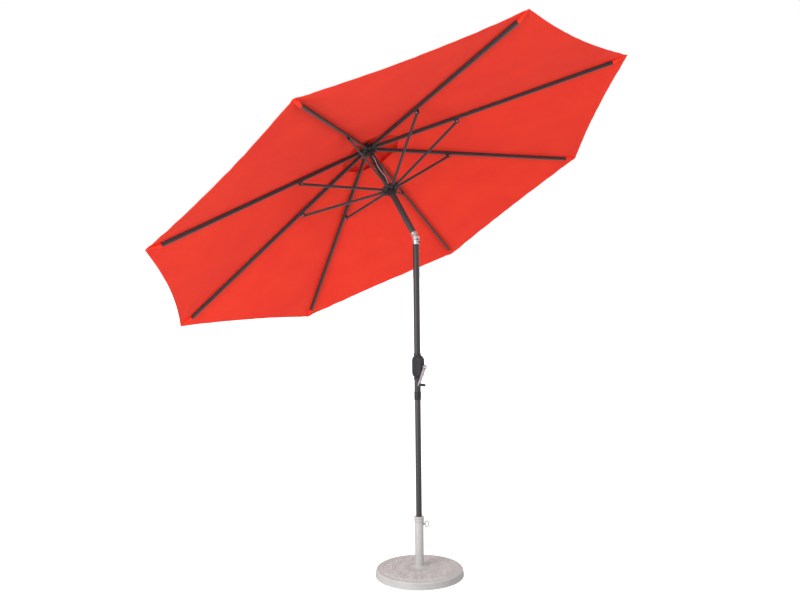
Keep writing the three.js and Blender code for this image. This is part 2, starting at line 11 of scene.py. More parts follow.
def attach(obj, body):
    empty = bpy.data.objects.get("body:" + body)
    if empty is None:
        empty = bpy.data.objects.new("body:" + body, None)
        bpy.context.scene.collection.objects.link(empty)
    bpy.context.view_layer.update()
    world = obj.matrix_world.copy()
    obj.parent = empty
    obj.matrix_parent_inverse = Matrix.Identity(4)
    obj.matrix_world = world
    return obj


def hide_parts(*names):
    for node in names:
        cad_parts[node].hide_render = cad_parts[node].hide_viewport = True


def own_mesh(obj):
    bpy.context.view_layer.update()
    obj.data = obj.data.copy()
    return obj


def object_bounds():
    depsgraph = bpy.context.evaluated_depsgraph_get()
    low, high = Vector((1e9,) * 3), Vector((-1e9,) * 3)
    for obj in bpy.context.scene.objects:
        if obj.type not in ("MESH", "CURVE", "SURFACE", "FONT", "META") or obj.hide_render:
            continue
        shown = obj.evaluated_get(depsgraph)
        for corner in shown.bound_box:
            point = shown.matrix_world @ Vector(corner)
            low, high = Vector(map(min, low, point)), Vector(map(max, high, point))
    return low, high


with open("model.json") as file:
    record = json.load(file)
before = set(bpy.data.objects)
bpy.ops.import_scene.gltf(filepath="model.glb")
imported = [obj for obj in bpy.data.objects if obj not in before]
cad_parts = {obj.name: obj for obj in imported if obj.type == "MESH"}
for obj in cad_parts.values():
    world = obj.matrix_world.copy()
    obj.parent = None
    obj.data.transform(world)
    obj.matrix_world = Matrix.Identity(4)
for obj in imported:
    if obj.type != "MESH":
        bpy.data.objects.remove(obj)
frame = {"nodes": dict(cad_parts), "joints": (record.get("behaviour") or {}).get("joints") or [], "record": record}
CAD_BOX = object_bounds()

# ------------------------------------------------------------------ sizes, as in the part unless noted
RIBS = 8
SECTOR = 2 * math.pi / RIBS
HALF = SECTOR / 2
FIRST_RIB = math.radians(-21.7)
JOINTS = {j["name"]: j for j in frame["joints"]}
TILT_PIN = Vector(JOINTS["head_tilt"]["pos_m"])
TILT = math.radians(JOINTS["head_tilt"]["range_deg"][1])
HEAD = Matrix.Translation(TILT_PIN) @ Matrix.Rotation(-TILT, 4, "Y")

PLATE_R = 0.2285
PLATE_H = 0.037
RELIEF_REACH = 1.2 # how far the ornament is stretched outwards over the plate
BOSS_R = 0.029
BOSS_TOP = 0.054
TUBE_R = 0.0225
TUBE_BOTTOM = 0.016
TUBE_TOP = 0.300
TUBE_CAP_R = 0.0255
KNOB_MIDDLE = 0.040 # the ring's centre, from the pole's axis
KNOB_HALF_X = 0.0095
KNOB_HALF_Z = 0.0155
KNOB_BAR_R = 0.0032
PETAL_RING = (0.046, 0.088)
BEAD_RING = (0.089, 0.097)
SCROLL_RING = (0.098, 0.152)
SCROLL_SECTOR = math.pi / 5
SCROLL_R = sum(SCROLL_RING) / 2
KNOB = Matrix.Translation((0, 0, 0.267)) @ Matrix.Rotation(math.radians(35), 4, "Z")

LOWER_POLE_R = 0.015
POLE_R = 0.016
WALL = 0.0015
POLE_FOOT_Z = 0.024
JOINT_Z = 0.931
COLLAR_R = 0.0176
COLLAR_H = 0.042
SNAP_Z = 0.985

CRANK = Matrix.Translation((0, 0, JOINTS["crank_turn"]["pos_m"][2]))
HOUSING_X = 0.005
HOUSING_HALF = 0.0325
HOUSING_DEPTH = 0.021
HOUSING_H = 0.122
ARM_X = 0.046
ARM_REACH = 0.053
ARM_DROP = 0.084
GRIP_LENGTH = 0.038
GRIP_R = 0.007

KNUCKLE_R = 0.0178
EAR_R = 0.012
PIVOT_R = 0.032
HUB_Z = 0.550
RUNNER_Z = 0.300
RIVET_R = 0.4723
RIVET_Z = (HUB_Z + RUNNER_Z) / 2
RIB_END_R = 1.2804
RIB_END_Z = 0.2564
RIB_W = 0.011
RIB_D = 0.018
STRUT_W = 0.0085
STRUT_D = 0.013
HUB_R = 0.045
SLOT_ROOT = 0.0208
RUNNER_BOTTOM = 0.264
RUNNER_SLEEVE_R = 0.023
POLE_TOP = 0.582
PULLEY_Z = 0.510
CORD_R = 0.0015
CORD_SIDE = Matrix.Rotation(math.radians(-45), 4, "Z") # where the cord runs outside the head pole

CLOTH_LIFT = 0.0114 # 0.8 mm more than in the part, so that the folded cloth clears the ribs
VENT_R = 0.172
TIP_R = 1.350
HEM_SAG = 0.028
CAP_R = 0.290
CAP_TOP = 0.590
FINIAL_H = 0.058
RIB_SLOPE = (HUB_Z - RIB_END_Z) / (RIB_END_R - PIVOT_R)


def spoke(turns):
    """The head's frame turned to a rib; half turns are the middles of gores."""
    return HEAD @ Matrix.Rotation(FIRST_RIB + turns * SECTOR, 4, "Z")


# ------------------------------------------------------------------ camera, light and floor
CAMERA_TURN = math.radians(35.16)
CAMERA_AIM = (math.radians(-1.03), math.radians(2.55), math.radians(-0.69)) # yaw, pitch down, roll
CAMERA_AWAY = 4.7073
CAMERA_HEIGHT = 1.6306


def add_camera():
    turn = Matrix.Rotation(CAMERA_TURN, 4, "Z")
    yaw, pitch, roll = CAMERA_AIM
    ahead = Vector((math.sin(yaw) * math.cos(pitch), math.cos(yaw) * math.cos(pitch), -math.sin(pitch)))
    right = Vector((math.cos(yaw), -math.sin(yaw), 0))
    up = right.cross(ahead)
    side = math.cos(roll) * right + math.sin(roll) * up
    top = math.cos(roll) * up - math.sin(roll) * right
    place = Matrix.Identity(4)
    for column, axis in enumerate((side, top, -ahead)):
        for row in range(3):
            place[row][column] = axis[row]
    place.translation = Vector((0, -CAMERA_AWAY, CAMERA_HEIGHT))
    data = bpy.data.cameras.new("camera")
    data.lens = 41.64
    data.sensor_width = 36
    data.clip_end = 200
    camera = bpy.data.objects.new("camera", data)
    camera.matrix_world = turn @ place
    bpy.context.scene.collection.objects.link(camera)
    bpy.context.scene.camera = camera
    return camera


def add_light(name, place, target, size, power):
    data = bpy.data.lights.new(name, "AREA")
    data.shape = "DISK"
    data.size = size
    data.energy = power
    light = bpy.data.objects.new(name, data)
    light.location = place
    light.rotation_euler = (Vector(target) - Vector(place)).to_track_quat("-Z", "Y").to_euler()
    bpy.context.scene.collection.objects.link(light)


def seen_or_felt(tree, socket, seen, felt):
    """One strength for what the camera sees, another for the light it gives."""
    path = tree.nodes.new("ShaderNodeLightPath")
    level = tree.nodes.new("ShaderNodeMapRange")
    level.inputs["To Min"].default_value = felt
    level.inputs["To Max"].default_value = seen
    tree.links.new(path.outputs["Is Camera Ray"], level.inputs["Value"])
    tree.links.new(level.outputs["Result"], socket)


def add_studio():
    world = bpy.data.worlds.new("studio")
    world.use_nodes = True
    background = world.node_tree.nodes["Background"]
    background.inputs["Color"].default_value = (1, 1, 1, 1)
    seen_or_felt(world.node_tree, background.inputs["Strength"], 1.0, 1.45)
    bpy.context.scene.world = world
    bpy.context.scene.view_settings.view_transform = "Standard"
    add_light("key", (-0.4, -4.2, 3.0), (-0.3, 0, 1.8), 2.5, 120)
    add_light("low_fill", (-0.4, -4.2, 1.2), (0.1, 0.2, 2.1), 2.0, 110)
    mesh = bpy.data.meshes.new("floor")
    reach = 60
    mesh.from_pydata([(-reach, -reach, 0), (reach, -reach, 0), (reach, reach, 0), (-reach, reach, 0)],
                     [], [(0, 1, 2, 3)])
    floor = bpy.data.objects.new("floor", mesh)
    floor.location.z = CAD_BOX[0][2] - 0.0005
    bpy.context.scene.collection.objects.link(floor)
    paper = mottled("pale_floor", (0.40, 0.40, 0.40), (0.44, 0.44, 0.44), 3, (0.85, 0.95))
    surface = paper.node_tree.nodes["Principled BSDF"]
    surface.inputs["Emission Color"].default_value = (1, 1, 1, 1)
    seen_or_felt(paper.node_tree, surface.inputs["Emission Strength"], 0.80, 0.0)
    mesh.materials.append(paper)


# ------------------------------------------------------------------ materials
def shader(name):
    material = bpy.data.materials.new(name)
    material.use_nodes = True
    tree = material.node_tree
    place = tree.nodes.new("ShaderNodeTexCoord").outputs["Object"]
    return material, tree, tree.nodes["Principled BSDF"], place


def noise(tree, place, scale, detail=3):
    node = tree.nodes.new("ShaderNodeTexNoise")
    node.inputs["Scale"].default_value = scale
    node.inputs["Detail"].default_value = detail
    tree.links.new(place, node.inputs["Vector"])
    return node.outputs["Fac"]


def ramp(tree, factor, low, high, start=0.3, end=0.7):
    node = tree.nodes.new("ShaderNodeValToRGB")
    node.color_ramp.elements[0].position = start
    node.color_ramp.elements[1].position = end
    node.color_ramp.elements[0].color = (*low, 1)
    node.color_ramp.elements[1].color = (*high, 1)
    tree.links.new(factor, node.inputs["Fac"])
    return node.outputs["Color"]


def spread(tree, factor, low, high):
    node = tree.nodes.new("ShaderNodeMapRange")
    node.inputs["From Min"].default_value = 0.3
    node.inputs["From Max"].default_value = 0.7
    node.inputs["To Min"].default_value = low
    node.inputs["To Max"].default_value = high
    tree.links.new(factor, node.inputs["Value"])
    return node.outputs["Result"]


def bump(tree, shader_node, height, strength, distance):
    node = tree.nodes.new("ShaderNodeBump")
    node.inputs["Strength"].default_value = strength
    node.inputs["Distance"].default_value = distance
    tree.links.new(height, node.inputs["Height"])
    tree.links.new(node.outputs["Normal"], shader_node.inputs["Normal"])


def mottled(name, low, high, scale, rough, metallic=0.0, grain=(700, 0.15, 0.0003), wear_and_ridge_highlight=None, gloss=0.5):
    """Two close colours in soft patches, roughness that varies with them, a fine grain, and lighter convex edges:
    partly wear, partly painted highlight on ridges.
    """
    material, tree, surface, place = shader(name)
    patches = noise(tree, place, scale)
    colour = ramp(tree, patches, low, high)
    # Convex edges and ridges get a lighter colour: partly edge wear, partly painted highlight standing in for
    # cavity shading on raised relief.
    if wear_and_ridge_highlight:
        edge = tree.nodes.new("ShaderNodeNewGeometry").outputs["Pointiness"]
        wear_and_highlight_mask = tree.nodes.new("ShaderNodeMapRange")
        wear_and_highlight_mask.inputs["From Min"].default_value = 0.51
        wear_and_highlight_mask.inputs["From Max"].default_value = 0.58
        tree.links.new(edge, wear_and_highlight_mask.inputs["Value"])
        mix = tree.nodes.new("ShaderNodeMix")
        mix.data_type = "RGBA"
        tree.links.new(wear_and_highlight_mask.outputs["Result"], mix.inputs["Factor"])
        tree.links.new(colour, mix.inputs["A"])
        mix.inputs["B"].default_value = (*wear_and_ridge_highlight, 1)
        colour = mix.outputs["Result"]
    tree.links.new(colour, surface.inputs["Base Color"])
    tree.links.new(spread(tree, patches, *rough), surface.inputs["Roughness"])
    surface.inputs["Metallic"].default_value = metallic
    surface.inputs["Specular IOR Level"].default_value = gloss
    bump(tree, surface, noise(tree, place, grain[0], 2), grain[1], grain[2])
    return material


def woven_cloth(name, low, high, pitch=0.0016):
    """Plain weave: two crossed sets of threads, faint dye variation and hardly any gloss."""
    material, tree, surface, place = shader(name)
    threads = []
    for axis in ("X", "Y"):
        wave = tree.nodes.new("ShaderNodeTexWave")
        wave.bands_direction = axis
        wave.inputs["Scale"].default_value = 0.314 / pitch
        wave.inputs["Distortion"].default_value = 0.4
        tree.links.new(place, wave.inputs["Vector"])
        threads.append(wave.outputs["Fac"])
    weave = tree.nodes.new("ShaderNodeMath")
    weave.operation = "MULTIPLY"
    tree.links.new(threads[0], weave.inputs[0])
    tree.links.new(threads[1], weave.inputs[1])
    dye = noise(tree, place, 5, 4)
    slubs = noise(tree, place, 160, 2)
    blend = tree.nodes.new("ShaderNodeMath")
    blend.operation = "MULTIPLY_ADD"
    blend.inputs[1].default_value = 0.35
    tree.links.new(slubs, blend.inputs[0])
    tree.links.new(dye, blend.inputs[2])
    tree.links.new(ramp(tree, blend.outputs["Value"], low, high, 0.4, 0.95), surface.inputs["Base Color"])
    tree.links.new(spread(tree, dye, 0.72, 0.88), surface.inputs["Roughness"])
    surface.inputs["Specular IOR Level"].default_value = 0.2
    bump(tree, surface, weave.outputs["Value"], 0.35, 0.0004)
    return material


def braided_cord(name):
    material, tree, surface, place = shader(name)
    wave = tree.nodes.new("ShaderNodeTexWave")
    wave.bands_direction = "DIAGONAL"
    wave.inputs["Scale"].default_value = 180
    tree.links.new(place, wave.inputs["Vector"])
    tree.links.new(ramp(tree, wave.outputs["Fac"], (0.62, 0.48, 0.5), (0.86, 0.78, 0.78)),
                   surface.inputs["Base Color"])
    tree.links.new(spread(tree, noise(tree, place, 60), 0.75, 0.9), surface.inputs["Roughness"])
    bump(tree, surface, wave.outputs["Fac"], 0.5, 0.0005)
    return material


# The last colour given to a finish below is the lighter colour of its convex edges: partly wear, partly painted
# highlight.
PAINT = mottled("charcoal_powder_coat", (0.020, 0.019, 0.019), (0.030, 0.028, 0.029), 9, (0.36, 0.48),
                0.15, (900, 0.2, 0.0002), (0.07, 0.067, 0.07), 0.25)
MOULDED = mottled("dark_moulded_plastic", (0.013, 0.013, 0.016), (0.019, 0.019, 0.024), 20, (0.5, 0.62),
                  0.0, (600, 0.25, 0.0003), (0.05, 0.05, 0.055), 0.2)
BLACK = mottled("black_plastic_finish", (0.012, 0.012, 0.013), (0.022, 0.021, 0.023), 30, (0.45, 0.6),
                0.0, (500, 0.2, 0.0003), (0.04, 0.04, 0.04), 0.2)
ZINC = mottled("cast_zinc", (0.38, 0.38, 0.40), (0.52, 0.52, 0.54), 60, (0.34, 0.48), 0.85,
               (800, 0.12, 0.0002))
STEEL = mottled("brushed_steel_finish", (0.42, 0.42, 0.44), (0.56, 0.56, 0.58), 90, (0.28, 0.42), 0.9,
                (1200, 0.2, 0.0002))
PALE = mottled("pale_powder_coat", (0.29, 0.287, 0.284), (0.33, 0.327, 0.324), 14, (0.42, 0.55),
               0.05, (800, 0.2, 0.0002), (0.42, 0.41, 0.40))
# The lighter colour on the stone relief's ridges is painted highlight, standing in for cavity shading between the
# ornaments.
STONE = mottled("cast_stone_finish", (0.27, 0.275, 0.27), (0.32, 0.325, 0.32), 26, (0.55, 0.75), 0.0,
                (320, 0.35, 0.0006), (0.46, 0.455, 0.45))
CLOTH = woven_cloth("red_orange_cloth", (0.92, 0.034, 0.018), (0.99, 0.054, 0.026))
CORD = braided_cord("pale_braid")
FINISHES = {
    "charcoal_paint": PAINT, "dark_plastic": MOULDED, "black_plastic": BLACK, "zinc": ZINC,
    "steel": STEEL, "pale_paint": PALE, "cast_stone": STONE, "canopy_cloth": CLOTH, "cord_braid": CORD,
}


def paint_frame():
    """Every carried-over node gets the finish of its own slot."""
    slots = {s["node"]: s["material_slot"] for s in frame["record"]["subparts"]}
    for name, node in frame["nodes"].items():
        for held in node.material_slots:
            held.material = FINISHES[slots[name]]


# ------------------------------------------------------------------ mesh tools
def piece(name, shape, body, finish, place=None, stands_for=(), sharp=40):
    """Makes the object from (points, faces), turns its faces outwards and rides it on its body."""
    points, faces = shape
    if place is not None:
        points = [place @ Vector(p) for p in points]
    mesh = bpy.data.meshes.new(name)
    mesh.from_pydata([tuple(p) for p in points], [], faces)
    work = bmesh.new()
    work.from_mesh(mesh)
    bmesh.ops.recalc_face_normals(work, faces=work.faces)
    work.to_mesh(mesh)
    work.free()
    mesh.polygons.foreach_set("use_smooth", [True] * len(mesh.polygons))
    mesh.set_sharp_from_angle(angle=math.radians(sharp))
    mesh.materials.append(FINISHES[finish])
    obj = bpy.data.objects.new(name, mesh)
    bpy.context.scene.collection.objects.link(obj)
    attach(obj, body)
    if stands_for:
        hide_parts(*stands_for)
    return obj


def together(*shapes):
    """Several closed shapes as one mesh."""
    points, faces = [], []
    for more_points, more_faces in shapes:
        first = len(points)
        points += [Vector(p) for p in more_points]
        faces += [tuple(first + i for i in face) for face in more_faces]
    return points, faces


def moved(shape, place):
    return [place @ Vector(p) for p in shape[0]], shape[1]


def eased(corners, radius=0.001, steps=3, closed=False):
    """A 2-D line with its corners rounded."""
    count = len(corners)
    out = []
    for i, corner in enumerate(corners):
        here = Vector(corner)
        if not closed and i in (0, count - 1):
            out.append(tuple(here))
            continue
        before, after = Vector(corners[i - 1]) - here, Vector(corners[(i + 1) % count]) - here
        reach = min(radius, before.length * 0.45, after.length * 0.45)
        start, end = here + before.normalized() * reach, here + after.normalized() * reach
        for k in range(steps + 1):
            t = k / steps
            out.append(tuple(start * (1 - t) ** 2 + here * 2 * t * (1 - t) + end * t ** 2))
    return out


def joined_rings(rings, closed_loop=False):
    """Quads between rings of point numbers; a ring that is one point gives triangles."""
    faces = []
    pairs = list(zip(rings, rings[1:]))
    if closed_loop:
        pairs.append((rings[-1], rings[0]))
    for low, high in pairs:
        for j in range(len(low)):
            k = (j + 1) % len(low)
            face = tuple(dict.fromkeys((low[j], low[k], high[k], high[j])))
            if len(face) > 2:
                faces.append(face)
    return faces


def turned(profile, radius=0.001, sides=64, loop=False):
    """A turned shape about Z. A loop profile is a ring; any other starts and ends on the axis."""
    line = eased(profile, radius, 3, closed=loop)
    points, rings = [], []
    for r, z in line:
        if r < 1e-7:
            points.append((0, 0, z))
            rings.append([len(points) - 1] * sides)
            continue
        first = len(points)
        points += [(r * math.cos(2 * math.pi * j / sides), r * math.sin(2 * math.pi * j / sides), z)
                   for j in range(sides)]
        rings.append(list(range(first, first + sides)))
    return points, joined_rings(rings, loop)


def tube_ring(inner, outer, low, high, radius=0.0008, sides=64):
    return turned([(inner, low), (outer, low), (outer, high), (inner, high)], radius, sides, loop=True)


def pin(radius, low, high, dome=0.0):
    top = [(radius, high), (0, high)] if not dome else [
        (radius * math.cos(a), high + dome * math.sin(a)) for a in (0, 0.35, 0.7, 1.05, 1.35)
    ] + [(0, high + dome)]
    return turned([(0, low), (radius, low)] + top, radius * 0.12, 32)


def layered(outline, layers):
    """Stacks a closed outline: each layer is (height, function from the outline's point to a point)."""
    points, rings = [], []
    for height, change in layers:
        first = len(points)
        points += [(*change(p), height) for p in outline]
        rings.append(list(range(first, first + len(outline))))
    return points, joined_rings(rings) + [tuple(reversed(rings[0])), tuple(rings[-1])]


def arc(cx, cy, radius, start, end, steps=10):
    return [(cx + radius * math.cos(math.radians(start + (end - start) * k / steps)),
             cy + radius * math.sin(math.radians(start + (end - start) * k / steps)))
            for k in range(steps + 1)]


def inset(outline, amount):
    """The outline moved inwards; it runs anticlockwise."""
    count = len(outline)
    out = []
    for i, point in enumerate(outline):
        before, after = Vector(outline[i - 1]), Vector(outline[(i + 1) % count])
        run = (after - before).normalized()
        out.append((point[0] - run.y * amount, point[1] + run.x * amount))
    return out


def slab(outline, low, high, chamfer=0.0006):
    """A plate with its two rims eased."""
    small = dict(zip(outline, inset(outline, chamfer)))
    keep = lambda p: p
    shrink = lambda p: small[p]
    return layered(outline, [(low, shrink), (low + chamfer, keep), (high - chamfer, keep), (high, shrink)])


def swept(section, stations):
    """Joins sections along stations of (place, scale across, scale up), with flat ends."""
    points, rings = [], []
    for place, across, up in stations:
        first = len(points)
        points += [place @ Vector((0, x * across, z * up)) for x, z in section]
        rings.append(list(range(first, first + len(section))))
    return points, joined_rings(rings) + [tuple(reversed(rings[0])), tuple(rings[-1])]


def rounded_bar(start, end, width, depth, corner=0.0022):
    """A rectangular bar with round corners between two points of the XZ plane."""
    run = Vector((end[0] - start[0], 0, end[1] - start[1]))
    w, d = width / 2, depth / 2
    section = eased([(-w, -d), (w, -d), (w, d), (-w, d)], corner, 4, closed=True)
    turn = Matrix.Rotation(-math.atan2(run.z, run.x), 4, "Y")
    stations = []
    for share, size in ((0, 0.9), (0.0006, 1), (0.9994, 1), (1, 0.9)):
        place = Matrix.Translation(Vector((start[0], 0, start[1])) + run * share) @ turn
        stations.append((place, size, size))
    return swept(section, stations)


X_AXIS = Matrix.Rotation(math.pi / 2, 4, "Y")
Y_AXIS = Matrix.Rotation(-math.pi / 2, 4, "X")
FACE_ON = Matrix.Rotation(math.pi / 2, 4, "X") # XY outline to XZ, its height towards -Y


# ------------------------------------------------------------------ base
def between(value, ends):
    return (value - ends[0]) / (ends[1] - ends[0])


def scroll_relief(r, angle):
    """A curl in the middle of each sector and a leaf between two sectors."""
    turn = (angle + SCROLL_SECTOR / 2) % SCROLL_SECTOR - SCROLL_SECTOR / 2
    x, y = r - SCROLL_R, turn * SCROLL_R
    rho, phi = math.hypot(x, y), math.atan2(y, x)
    window = max(0.0, 1 - (rho / 0.027) ** 4)
    curl = 0.5 + 0.5 * math.cos(phi - 2 * math.pi * rho / 0.011)
    swell = math.sin(math.pi * between(r, SCROLL_RING))
    side = abs(abs(turn) - SCROLL_SECTOR / 2) * SCROLL_R
    leaf = max(0.0, 1 - (side / (0.0035 + 0.005 * swell)) ** 2)
    return 0.0044 * window * curl ** 1.5 + 0.0040 * leaf * swell ** 0.5


def petal_relief(r, angle):
    """Raised petals round the column, a ring of beads, scrolls and leaves, and two thin mouldings."""
    height = 0.0
    r /= RELIEF_REACH
    if PETAL_RING[0] < r < PETAL_RING[1]:
        lobe = abs(math.sin(8 * angle)) ** 0.6
        height += 0.0048 * math.sin(math.pi * between(r, PETAL_RING)) ** 0.7 * lobe
    if BEAD_RING[0] < r < BEAD_RING[1]:
        height += 0.0016 * math.sin(math.pi * between(r, BEAD_RING)) * (0.55 + 0.45 * math.cos(60 * angle))
    if SCROLL_RING[0] < r < SCROLL_RING[1]:
        height += scroll_relief(r, angle)
    for ridge in (0.157, 0.163):
        height += 0.0022 * math.exp(-((r - ridge) / 0.0014) ** 2)
    height -= 0.0016 * math.exp(-((r - 0.176) / 0.0014) ** 2)
    return height


def plate_height(r):
    """The plate's plain top, falling from the boss to the flat outer band."""
    marks = [(BOSS_R, BOSS_TOP - 0.004), (0.036, PLATE_H + 0.008), (0.050, PLATE_H + 0.0055),
             (0.176, PLATE_H + 0.0025), (0.192, PLATE_H), (PLATE_R, PLATE_H)]
    for (r0, z0), (r1, z1) in zip(marks, marks[1:]):
        if r <= r1:
            t = (r - r0) / (r1 - r0)
            t = t * t * (3 - 2 * t)
            return z0 + (z1 - z0) * t
    return PLATE_H


def base_plate():
    sides, edge = 420, 0.009
    hole = TUBE_R + 0.0003
    profile = [(hole, TUBE_BOTTOM), (hole, BOSS_TOP - 0.001), (hole + 0.0007, BOSS_TOP)]
    profile += arc(BOSS_R - 0.003, BOSS_TOP - 0.003, 0.003, 90, 0, 5)
    steps = 130
    flat_end = PLATE_R - 0.004 - edge
    profile += [(BOSS_R + (flat_end - BOSS_R) * k / steps, None) for k in range(steps + 1)]
    profile += arc(flat_end, PLATE_H - edge, edge, 82, 0, 6)
    profile += [(PLATE_R - 0.0005, 0.004), (PLATE_R - 0.0012, 0.001), (PLATE_R - 0.004, 0.0),
                (0.180, 0.0), (0.0, 0.0)]
    points, rings = [(0, 0, TUBE_BOTTOM)], [[0] * sides]
    for r, z in profile[:-1]:
        first = len(points)
        for j in range(sides):
            angle = 2 * math.pi * j / sides
            height = plate_height(r) + petal_relief(r, angle) if z is None else z
            points.append((r * math.cos(angle), r * math.sin(angle), height))
        rings.append(list(range(first, first + sides)))
    points.append((0, 0, 0))
    rings.append([len(points) - 1] * sides)
    piece("ornate_plate", (points, joined_rings(rings)), "base", "cast_stone",
          stands_for=["base_plate"], sharp=50)


def base_column():
    piece("column_tube", tube_ring(TUBE_R - 0.002, TUBE_R, TUBE_BOTTOM, TUBE_TOP), "base",
          "pale_paint", stands_for=["base_tube"])
    inner = LOWER_POLE_R + 0.0006
    cap = turned([
        (inner, TUBE_TOP - 0.022), (TUBE_R + 0.0003, TUBE_TOP - 0.022), (TUBE_R + 0.0003, TUBE_TOP - 0.02),
        (TUBE_CAP_R, TUBE_TOP - 0.02), (TUBE_CAP_R, TUBE_TOP - 0.012),
        (TUBE_CAP_R - 0.0008, TUBE_TOP - 0.011), (TUBE_CAP_R - 0.0008, TUBE_TOP - 0.004),
        (TUBE_CAP_R, TUBE_TOP - 0.003), (TUBE_CAP_R, TUBE_TOP + 0.004),
        (TUBE_CAP_R - 0.003, TUBE_TOP + 0.007), (inner + 0.002, TUBE_TOP + 0.008), (inner, TUBE_TOP + 0.006),
    ], 0.0012, 72, loop=True)
    piece("column_cap", cap, "base", "pale_paint", stands_for=["tube_cap"])
    nut = turned([(0.0041, TUBE_R + 0.0002), (0.0085, TUBE_R + 0.0002), (0.0080, TUBE_R + 0.003),
                  (0.0070, TUBE_R + 0.0045), (0.0041, TUBE_R + 0.0045)], 0.0006, 40, loop=True)
    piece("stud_boss", moved(nut, X_AXIS), "base", "pale_paint", KNOB, ["knob_nut"])


def base_knob():
    sides, round_steps = 72, 16
    points, rings = [], []
    for i in range(sides):
        a = 2 * math.pi * i / sides
        out = Vector((math.cos(a) / KNOB_HALF_X, 0, math.sin(a) / KNOB_HALF_Z)).normalized()
        centre = Vector((KNOB_MIDDLE + KNOB_HALF_X * math.cos(a), 0, KNOB_HALF_Z * math.sin(a)))
        first = len(points)
        for k in range(round_steps):
            b = 2 * math.pi * k / round_steps
            points.append(centre + KNOB_BAR_R * (math.cos(b) * out + math.sin(b) * Vector((0, 1, 0))))
        rings.append(list(range(first, first + round_steps)))
    eye = (points, joined_rings(rings, closed_loop=True))
    end = KNOB_MIDDLE - KNOB_HALF_X
    stud = turned([(0, LOWER_POLE_R + 0.0006), (0.0035, LOWER_POLE_R + 0.0006), (0.0038, end - 0.006),
                   (0.0052, end - 0.004), (0.0052, end - 0.001), (0.003, end + 0.001), (0, end + 0.001)],
                  0.0006, 32)
    piece("eye_knob", together(eye, moved(stud, X_AXIS)), "knob", "pale_paint", KNOB, ["base_knob"])


# ------------------------------------------------------------------ mast
def mast():
    piece("lower_mast_tube", tube_ring(LOWER_POLE_R - WALL, LOWER_POLE_R, POLE_FOOT_Z, JOINT_Z), "mast",
          "charcoal_paint", stands_for=["lower_pole"])
    top = TILT_PIN.z - 0.0343
    piece("upper_mast_tube", tube_ring(POLE_R - WALL, POLE_R, JOINT_Z + 0.001, top), "mast",
          "charcoal_paint", stands_for=["middle_pole"])
    low, high = JOINT_Z - COLLAR_H / 2, JOINT_Z + COLLAR_H / 2
    collar = turned([
        (LOWER_POLE_R + 0.0002, low), (COLLAR_R - 0.001, low), (COLLAR_R, low + 0.003),
        (COLLAR_R, low + 0.012), (COLLAR_R - 0.0006, low + 0.0128), (COLLAR_R - 0.0006, low + 0.0148),
        (COLLAR_R, low + 0.0156), (COLLAR_R, high - 0.003), (COLLAR_R - 0.001, high),
        (LOWER_POLE_R + 0.0002, high),
    ], 0.0008, 64, loop=True)
    piece("mast_collar", collar, "mast", "dark_plastic", stands_for=["pole_collar"])
    snap = pin(0.004, 0.006, POLE_R + 0.002, 0.0015)
    place = Matrix.Translation((0, 0, SNAP_Z)) @ Matrix.Rotation(math.pi / 2, 4, "Z") @ X_AXIS
    piece("snap_dome", snap, "snap", "zinc", place, ["snap_button"])


def capsule(offset=0.0):
    half, top = HOUSING_HALF + offset, HOUSING_H / 2 + offset
    bend = half * 0.98
    corners = ((1, 1, 0), (-1, 1, 90), (-1, -1, 180), (1, -1, 270))
    return [point for x, z, start in corners
            for point in arc(x * (half - bend), z * (top - bend), bend, start, start + 90, 12)]


def housing_half(side):
    """One moulded half: flat at the parting line, with a broad fillet round its face."""
    fillet, steps = 0.018, 10
    outline = capsule()
    lines = [(0.0002, -0.0005), (0.0006, 0.0)]
    for k in range(steps + 1):
        a = math.pi / 2 * k / steps
        lines.append((HOUSING_DEPTH - fillet + fillet * math.sin(a), -fillet * (1 - math.cos(a))))
    points, rings = [], []
    for y, offset in lines:
        first = len(points)
        points += [(HOUSING_X + x, side * y, z) for x, z in inset(outline, -offset)]
        rings.append(list(range(first, first + len(outline))))
    return points, joined_rings(rings) + [tuple(reversed(rings[0])), tuple(rings[-1])]


def crank_housing():
    for side, name in ((-1, "front"), (1, "back")):
        piece(f"housing_shell_{name}", housing_half(side), "mast", "dark_plastic", CRANK,
              [f"housing_{name}"], sharp=30)
    edge = HOUSING_X + HOUSING_HALF
    boss = turned([(0.0051, edge - 0.004), (0.0115, edge - 0.004), (0.0105, edge + 0.002),
                   (0.0095, edge + 0.003), (0.0051, edge + 0.003)], 0.0008, 48, loop=True)
    piece("shaft_boss", moved(boss, X_AXIS), "mast", "dark_plastic", CRANK)
    for z in (-HOUSING_H / 2 + 0.001, HOUSING_H / 2 - 0.001):
        low, high = (z - 0.007, z + 0.004) if z < 0 else (z - 0.004, z + 0.007)
        neck = tube_ring(POLE_R + 0.0002, POLE_R + 0.0028, low, high, 0.001)
        piece(f"housing_neck_{'low' if z < 0 else 'high'}", neck, "mast", "dark_plastic", CRANK)
    for i, (x, z) in enumerate(((-0.016, 0.036), (0.026, 0.036), (-0.016, -0.036), (0.026, -0.036))):
        screw = turned([(0, 0), (0.0034, 0), (0.0034, 0.0008), (0.0022, 0.0018), (0.0007, 0.0021),
                        (0.0006, 0.0012), (0, 0.0012)], 0.0003, 24)
        place = CRANK @ Matrix.Translation((x, HOUSING_DEPTH - 0.0004, z)) @ Y_AXIS
        piece(f"housing_screw_{i + 1}", screw, "mast", "steel", place)


GRIP_PIN = Matrix.Translation((0, -ARM_REACH, -ARM_DROP)) @ X_AXIS


